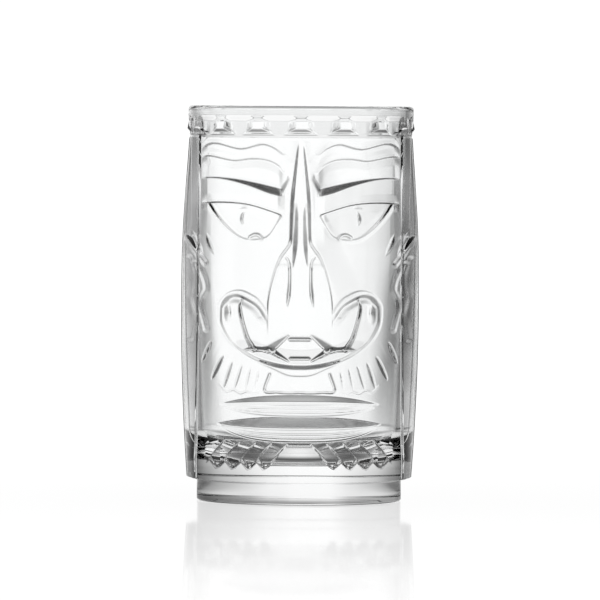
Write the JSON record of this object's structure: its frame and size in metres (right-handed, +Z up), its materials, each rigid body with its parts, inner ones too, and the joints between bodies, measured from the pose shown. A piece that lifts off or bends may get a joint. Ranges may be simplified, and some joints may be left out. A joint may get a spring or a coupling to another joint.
{
  "type": "tiki tumbler glass",
  "caption": "Clear pressed-glass tumbler, slightly barrel-shaped, with a carved tiki face in relief on the front, studded band under the rim and a round foot.",
  "frame": {"origin": "centre of the foot's underside, on the table", "axes": "+Z up along the tumbler's axis; -Y is the side with the carved face; +X is to the right of someone who looks at the face"},
  "size_m": [0.0842, 0.0818, 0.14],
  "materials": {
    "clear_glass": "clear, fire-polished pressed glass"
  },
  "bodies": {
    "root": {"glass_mug": "clear_glass"}
  },
  "joints": []
}
